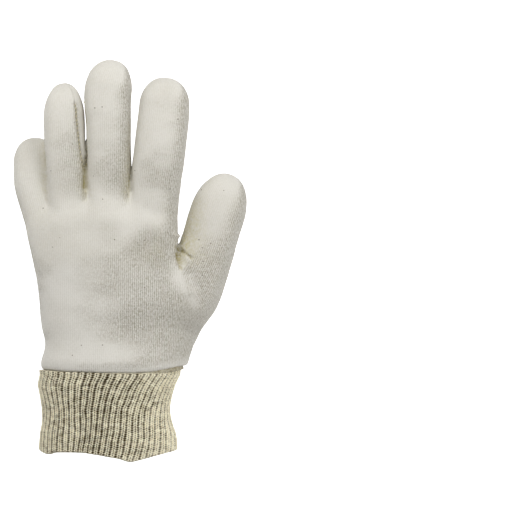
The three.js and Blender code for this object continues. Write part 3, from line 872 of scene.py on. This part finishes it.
def ring_at(turns, x, y, a, b, z, squareness):
    """Points at shares of a turn round a squared ellipse."""
    angle = even_angles(turns)
    return np.stack([x + a * squared(np.cos(angle), squareness),
                     y + b * squared(np.sin(angle), squareness), z], axis=-1)


def cuff_ring(turns, z, inset):
    """Points of the cuff at shares of a turn and a height, inset from its outside."""
    side, width, depth = (
        read(CUFF_TABLE, "up", name, z / CUFF_HEIGHT) for name in ("side", "width", "depth"))
    a, b = width * CUFF_WIDTH / 2 - inset, depth * CUFF_DEPTH / 2 - inset
    return ring_at(turns, side * CUFF_WIDTH, 0, a, b, z, CUFF_SQUARENESS)


def hem_ring(turns, z, inset):
    """Points inside the panels' hem: the same shares of a turn on the palm's own section."""
    x, y, a, b = palm_section(z)
    return ring_at(turns, x, y, a - inset, b - inset, z, PALM_SQUARENESS)


def mouth_height(x, y):
    """Height of the mouth's edge, between its lines on the back and on the palm side."""
    share = np.clip(y / MOUTH_BLEND * .5 + .5, 0, 1)
    back, palm = read(MOUTH_TABLE, "x", "back", x), read(MOUTH_TABLE, "x", "palm", x)
    return back * (1 - share) + palm * share


columns = RIBS * RIB_POINTS
turn = np.arange(columns) / columns
outline = cuff_ring(turn, np.full(columns, CUFF_HEIGHT / 2), 0)
print("cuff half way up, width:", round(float(np.ptp(outline[:, 0])), 1), "mm")

# %% Columns of the cuff
CUFF_ROWS, TUBE_RADIUS, HEM_OVERLAP = 118, 33, 0.2
top = hem_height(outline[:, 0]) - HEM_OVERLAP
bottom = mouth_height(outline[:, 0], outline[:, 1])
climb = np.linspace(0, 1, CUFF_ROWS)[:, None]
height = bottom + (top - bottom) * climb
slant = 0
for slanting, middle_turn in SLANTS:
    around = (turn - middle_turn + 0.5) % 1 - 0.5
    slant = slant + slanting * np.cos(np.clip(around / SLANT_REACH, -1, 1) * math.pi / 2) ** 2
angle = turn * 2 * math.pi
tube = np.stack(np.broadcast_arrays(
    TUBE_RADIUS * np.cos(angle), TUBE_RADIUS * np.sin(angle), height), axis=-1).reshape(-1, 3)


def cuff_noise(size, seed):
    """Soft noise for the cuff's points, taken on a round tube so that it closes round."""
    return soft_noise(tube, size, seed).reshape(CUFF_ROWS, columns)


def grid_normals(grid):
    """Outward normals of a grid that closes round: across its two directions."""
    round_it = np.roll(grid, -1, axis=1) - np.roll(grid, 1, axis=1)
    return unit(np.cross(round_it, np.gradient(grid, axis=0)))


wander = 0.8 * cuff_noise(15, 5) + 0.4 * cuff_noise(6, 6)
shift = (wander + slant * (climb - 0.5)) / CUFF_ROUND
base = cuff_ring(turn + shift, height, 0)
print("columns wander by up to", round(float(np.abs(wander).max()), 1), "mm")

# %% Ribs and stitches of the cuff
RIB_HIGH, HOLE_DEEP, STITCH_HIGH, CROWN_POWER = 0.85, 0.9, 0.36, 1.1
GROOVE_WIDE, GROOVE_DEEP = 0.1, 0.72
FADE_MIDDLE, FADE_REACH, RIGHT_FROM, RIGHT_REACH = -2, 45, 20, 40
rib = np.arange(columns) // RIB_POINTS
phase = (np.arange(columns) % RIB_POINTS) / RIB_POINTS + 0.5 / RIB_POINTS
course = height / COURSE
middle = np.exp(-((phase - 0.5) / GROOVE_WIDE) ** 2)
crown = np.abs(np.sin(math.pi * phase)) ** CROWN_POWER * (1 - GROOVE_DEEP * middle)
away = np.abs(phase - 0.5) * 2
rib_random = rng.uniform(-1, 1, RIBS)[rib]
stitch_random = rng.uniform(-1, 1, (RIBS, 80))[rib, np.clip(course + 5, 0, 79).astype(int)]
fine, grain = 0.35 * cuff_noise(9, 8), cuff_noise(1.9, 9)
stitch = np.cos(2 * math.pi * (course + 0.5 * away + fine))
hole = 0.5 - 0.5 * np.cos(2 * math.pi * (course + 0.5 + 0.5 * middle + fine))
hole = hole * (1 - crown) * (1 + 0.25 * stitch_random + 0.25 * grain)
x = base[..., 0]
side_fade = np.clip(1 - np.abs(x - FADE_MIDDLE) / FADE_REACH, 0, 1) ** 0.5
side_fade *= np.clip(1 - (x - RIGHT_FROM) / RIGHT_REACH, 0.45, 1)
ridge = RIB_HIGH * (crown - 1) + STITCH_HIGH * (stitch - 0.5) * crown - HOLE_DEEP * hole
ridge += 0.15 * stitch_random * crown + 0.12 * rib_random
end_fade = np.clip(np.minimum(climb, 1 - climb) * 14, 0, 1)
ridge = ridge * (0.35 + 0.65 * end_fade) * (0.55 + 0.45 * side_fade)
outside = base + ridge[..., None] * grid_normals(base)
# Painted shade: darker in the gaps between ribs and in the holes, a painted highlight on the stitch
# crowns, all weaker towards the sides, with some random tone.
hollow = (1 - crown) * 0.66 + 1.2 * hole - (0.14 + 0.4 * stitch) * crown
hollow = hollow + 0.1 * stitch_random + 0.06 * rib_random
hollow = np.clip((hollow + 0.16 * grain) * (0.42 + 0.58 * side_fade), 0, 1)
print("cuff outside:", outside.shape[0], "rows of", outside.shape[1])

# %% Closing the cuff
TUCK_ROWS = ((0.4, 2.4), (1.6, 3.0), (3.5, 3.2), (CUFF_TUCK, 3.2), (6.5, 3.9), (6.3, 4.8))
INSIDE_ROWS = np.linspace(0.96, 0.03, 12)
EDGE_ANGLES, EDGE_INSET, EDGE_WIDE, EDGE_LOW = (60, 20, -20, -60), 1.9, 1.5, 0.9
INSIDE_HOLLOW = 0.55


def cuff_path():
    """Rows of the whole cuff as one closed path: up the outside, in under the hem, round the
    tuck, down the inside, and round the edge of the mouth."""
    tucks = [hem_ring(turn + shift[-1], top + rise, inset) for rise, inset in TUCK_ROWS]
    inside, edge = [], []
    for row in (INSIDE_ROWS * (CUFF_ROWS - 1)).astype(int):
        inside.append(cuff_ring(turn + shift[row], height[row], CUFF_WALL + 1.0))
    for angle in np.radians(EDGE_ANGLES):
        low, inset = EDGE_LOW * math.cos(angle), EDGE_INSET + EDGE_WIDE * math.sin(angle)
        edge.append(cuff_ring(turn + shift[0], bottom - low, inset))
    return np.stack([*outside, *tucks, *inside, *edge])


path = cuff_path()
# Painted shade for every row: the outside's own, a middle amount for the tuck, inside and mouth.
shade_of = np.full(path.shape[:2], INSIDE_HOLLOW)
shade_of[:CUFF_ROWS] = hollow
i, j = np.arange(len(path))[:, None], np.arange(columns)
k = (j + 1) % columns
row, next_row = i * columns, (i + 1) % len(path) * columns
cuff_quads = faces_of(row + j, row + k, next_row + k, next_row + j)
cuff_uv = np.stack(np.broadcast_arrays(turn * CUFF_ROUND, path[..., 2]), axis=-1).reshape(-1, 2)
knit_cuff = new_object(
    "knit_cuff_ribs", path.reshape(-1, 3), cuff_quads, cuff_uv, {"hollow": shade_of.ravel()})
print("cuff has", 2 * len(cuff_quads), "triangles")

# %% [markdown]
# Materials are built from nodes. One small class wraps a socket, so that the patterns below
# read as ordinary arithmetic, and one method adds any other node.

# %% Shader helper
def feed(socket, given):
    """Links an expression to a socket, or gives the socket a plain value."""
    if isinstance(given, Shade):
        given.tree.links.new(given.socket, socket)
    else:
        socket.default_value = given


class Shade:
    """A number or colour in a material. Arithmetic on it adds the nodes that work it out."""

    def __init__(self, tree, socket=None):
        self.tree, self.socket = tree, socket

    def node(self, kind, settings=None, output=0, **sockets):
        """One output of a new node, with its settings and what goes into its sockets."""
        made = self.tree.nodes.new(kind)
        for key, setting in (settings or {}).items():
            setattr(made, key, setting)
        for key, given in sockets.items():
            feed(made.inputs[key.replace("_", " ")], given)
        return Shade(self.tree, made.outputs[output])

    def math(self, operation, *others):
        made = self.tree.nodes.new("ShaderNodeMath")
        made.operation = operation
        for socket, given in zip(made.inputs, (self, *others)):
            feed(socket, given)
        return Shade(self.tree, made.outputs[0])

    def __add__(self, other): return self.math("ADD", other)
    def __sub__(self, other): return self.math("SUBTRACT", other)
    def __rsub__(self, other): return (self * -1) + other
    def __mul__(self, other): return self.math("MULTIPLY", other)
    def __truediv__(self, other): return self.math("DIVIDE", other)
    def __pow__(self, other): return self.math("POWER", other)
    def __abs__(self): return self.math("ABSOLUTE")
    __radd__, __rmul__ = __add__, __mul__
    def cosine(self): return self.math("COSINE")
    def clamp(self): return self.node("ShaderNodeClamp", Value=self)

    def also(self, output):
        """Another output of this one's node."""
        return Shade(self.tree, self.socket.node.outputs[output])

    def stored(self, name):
        """Number that is stored with the mesh under a name."""
        return self.node("ShaderNodeAttribute", {"attribute_name": name}, output=2)

    def spot(self):
        """Place on the object, in metres."""
        return self.node("ShaderNodeTexCoord", output=3)

    def blend(self, low, high):
        """Colour between low, where this is 0, and high, where it is 1."""
        made = self.tree.nodes.new("ShaderNodeMix")
        made.data_type = "RGBA"
        feed(made.inputs["Factor"], self)
        for socket, given in zip([s for s in made.inputs if s.type == "RGBA"], (low, high)):
            feed(socket, given)
        return Shade(self.tree, [s for s in made.outputs if s.type == "RGBA"][0])

    def noise(self, scale, detail=2.0, roughness=0.5):
        """Noise at this place, from 0 to 1."""
        return self.node("ShaderNodeTexNoise", Vector=self, Scale=scale, Detail=detail,
                         Roughness=roughness)


def new_material(name):
    """A material, and the start of the expressions in it."""
    material = bpy.data.materials.new(name)
    material.use_nodes = True
    return material, Shade(material.node_tree)


def finish_material(material, **sockets):
    """Feeds the inputs of the material's shader."""
    for key, given in sockets.items():
        feed(material.node_tree.nodes["Principled BSDF"].inputs[key.replace("_", " ")], given)
    return material


def linear(part):
    """Linear strength of a screen colour's part of 255."""
    share = part / 255
    return share / 12.92 if share <= 0.04045 else ((share + 0.055) / 1.055) ** 2.4


def rgb(*parts):
    return (*(linear(part) for part in parts), 1)


# %% [markdown]
# The panels are cotton jersey, unbleached and slightly fluffy. Its columns of V-shaped
# stitches are 1.25 mm apart, too fine for the mesh, so they are relief in the material, drawn
# from the millimetres of the cloth's own map. Tiny brown flecks of seed are left in the
# cotton. Shade is painted into the colour: creamy and darker where two fingers shade each
# other, in creases, in the groove of the seam and where the cloth faces away from the key
# light, and there the stitches show more.

# %% Cotton of the panels
WALE, STITCH_ROW = 1.25, 1.05


def cotton_material():
    material, start = new_material("unbleached_cotton_jersey")
    place = start.node("ShaderNodeUVMap", {"uv_map": "cloth"})
    across = start.node("ShaderNodeSeparateXYZ", Vector=place)
    along, spot = across.also(1), start.spot()
    painted_shade, between, crease, from_seam = (
        start.stored(name) for name in ("painted_shade", "between", "crease", "seam"))
    fluff, patch = spot.noise(1100.0, 3.0, 0.6), spot.noise(45.0, 3.0, 0.55)
    drift, speckle = spot.noise(90.0, 2.0), spot.noise(700.0, 1.0)
    stretched = start.node("ShaderNodeMapping", Vector=place, Scale=(1.0, 0.38, 1.0))
    streak = stretched.noise(1.4, 3.0, 0.65)

    inside_column = abs((across / WALE + drift * 0.5).math("FRACT") - 0.5) * 2
    rounded = 1 - inside_column ** 2.0
    loops = ((along / STITCH_ROW + inside_column * 0.45) * (2 * math.pi)).cosine() * 0.5 + 0.5
    show = painted_shade * 0.9 + 0.1
    height = (rounded * 0.9 + loops * rounded * 0.5 + fluff * 0.7 + streak * 1.2) * show
    bump = start.node("ShaderNodeBump", Height=height, Strength=0.7, Distance=0.0005)

    fleck = start.node("ShaderNodeTexVoronoi", Vector=spot, Scale=150.0)
    rare = start.node("ShaderNodeSeparateColor", Color=fleck.also("Color"))
    seed = (fleck.math("LESS_THAN", 0.065) * rare.math("GREATER_THAN", 0.5)).clamp()
    # Stitch grain, with painted shade in the gaps between columns; it shows more where the cloth is
    # painted shaded.
    stitches = (fluff - 0.5) * 1.3 + (streak - 0.5) * 2.6 + (1 - rounded) * 0.7
    # Painted shade darkens the tone, from the painted shade mask and from the shade between digits.
    tone = (patch - 0.5) * 0.4 + stitches * show * 1.15 + painted_shade * 0.12 + between * 0.2 + 0.02
    colour = tone.clamp().blend(rgb(222, 219, 211), rgb(168, 161, 142))
    for amount, stain in (
        # painted shade between digits, warm and speckled
        (between * 0.6 * (speckle * 3.0 - 0.8), rgb(186, 178, 130)),
        # painted shade in the creases
        (crease * (speckle * 2.0 - 0.1), rgb(158, 146, 92)),
        # painted shadow in the groove of the seam
        ((1 - from_seam).clamp() * 0.55 * (speckle * 1.8), rgb(140, 130, 88)),
        (seed * 0.75, rgb(96, 80, 58)),
    ):
        colour = amount.clamp().blend(colour, stain)
    return finish_material(
        material, Base_Color=colour, Normal=bump, Roughness=0.95, Specular_IOR_Level=0.25,
        Sheen_Weight=0.25, Sheen_Roughness=0.45)


cotton = cotton_material()
for item in panels.values():
    item.data.materials.append(cotton)
print("cotton nodes:", len(cotton.node_tree.nodes))

# %% [markdown]
# The cuff is knitted from a speckled beige yarn. Shade is painted into its colour: it
# follows the depth that was stored with the mesh, dark olive in the holes and the gaps
# between ribs, and a fine noise gives the twist and fluff of the yarn.

# %% Yarn of the cuff
def yarn_material():
    material, start = new_material("beige_rib_yarn")
    spot, hollow = start.spot(), start.stored("hollow")
    fluff, speckle = spot.noise(1300.0, 3.0, 0.6), spot.noise(600.0, 1.0)
    # Painted shade: the colour goes to dark olive with the stored depth.
    depth = (hollow * 1.28 - 0.12 + (speckle - 0.5) * 0.6).clamp()
    light = (speckle * 1.3 - 0.25).clamp().blend(rgb(255, 250, 226), rgb(230, 216, 178))
    bump = start.node("ShaderNodeBump", Height=fluff, Strength=0.5, Distance=0.0003)
    return finish_material(
        material, Base_Color=depth.blend(light, rgb(60, 45, 5)), Normal=bump, Roughness=0.95,
        Specular_IOR_Level=0.2, Sheen_Weight=0.15)


knit_cuff.data.materials.append(yarn_material())


def thread_material():
    material, start = new_material("cream_sewing_thread")
    colour = start.spot().noise(900.0, 1.0).blend(rgb(226, 218, 190), rgb(196, 184, 148))
    return finish_material(material, Base_Color=colour, Roughness=0.8)


seam_stitches.data.materials.append(thread_material())

# %% Fastening the pieces to the model
for node, item in {**panels, "knit_cuff": knit_cuff}.items():
    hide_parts(node)
    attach(item, "root")
    item.location = (0, 0, 0)
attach(seam_stitches, "root")
print("pieces:", [item.name for item in panels.values()], knit_cuff.name, seam_stitches.name)

# %% [markdown]
# The stage is a pale cove, a floor that curves up into a wall behind, lit so brightly that
# it reads as white. It stands in for the light table of a catalogue picture, and the light
# that it throws back is what makes the sides of the fingers bright.

# %% Stage
FLOOR, WALL_AT, WALL_GLOW = -0.25, 3.0, 1.0
GLOW_FROM, GLOW_FULL = 0.2, 0.9


def cove(width=9.0, front=3.0, bend=0.8, tall=3.6):
    """Floor and wall as one sheet: a straight floor, a quarter of a circle and a straight
    wall, carried sideways."""
    angle = np.linspace(0, math.pi / 2, 24)
    y = np.concatenate([[-front], WALL_AT - bend + bend * np.sin(angle), [WALL_AT]])
    z = np.concatenate([[0], bend - bend * np.cos(angle), [tall]]) + FLOOR
    n = len(y)
    x = np.repeat([-width / 2, width / 2], n)
    i = np.arange(n - 1)
    points = np.stack([x, np.tile(y, 2), np.tile(z, 2)], axis=1) / MM
    return points, np.stack([i + n, i + n + 1, i + 1, i], axis=1)


def stage_material():
    """Plain pale floor that turns into a lit white wall behind the glove."""
    material, start = new_material("pale_stage")
    depth = start.node("ShaderNodeSeparateXYZ", Vector=start.spot()).also(1)
    lit = start.node("ShaderNodeMapRange", Value=depth, From_Min=GLOW_FROM, From_Max=GLOW_FULL)
    glow = lit.blend(rgb(0, 0, 0), rgb(255, 255, 255))
    return finish_material(
        material, Base_Color=(0.8, 0.8, 0.8, 1), Roughness=0.9, Emission_Color=glow,
        Emission_Strength=WALL_GLOW)
stage = new_object("stage_cove", *cove())
stage.data.materials.append(stage_material())

# %% Lights
GLOVE = (0.014, 0, 0.13)
LIGHTS = {  # place, size, power
    "key": ((-0.3, -0.48, 0.75), 0.5, 3.6),
    "fill": ((0.5, -0.65, 0.6), 0.5, 3.2),
    "left_edge": ((-1.4, 0.1, 0.6), 0.9, 3),
    "right_edge": ((1.3, -0.25, 0.5), 0.9, 4.5),
}
for name, (place, size, power) in LIGHTS.items():
    light = bpy.data.lights.new(name, "AREA")
    light.shape, light.size, light.energy = "DISK", size, power
    item = add_object(name, light)
    item.location = place
    item.rotation_euler = (Vector(GLOVE) - Vector(place)).to_track_quat("-Z", "Y").to_euler()

world = bpy.data.worlds.new("studio")
bpy.context.scene.world = world
world.use_nodes = True
backdrop = world.node_tree.nodes["Background"].inputs
backdrop["Color"].default_value = (1, 1, 1, 1)
backdrop["Strength"].default_value = 0.2
bpy.context.scene.view_settings.view_transform = "Standard"
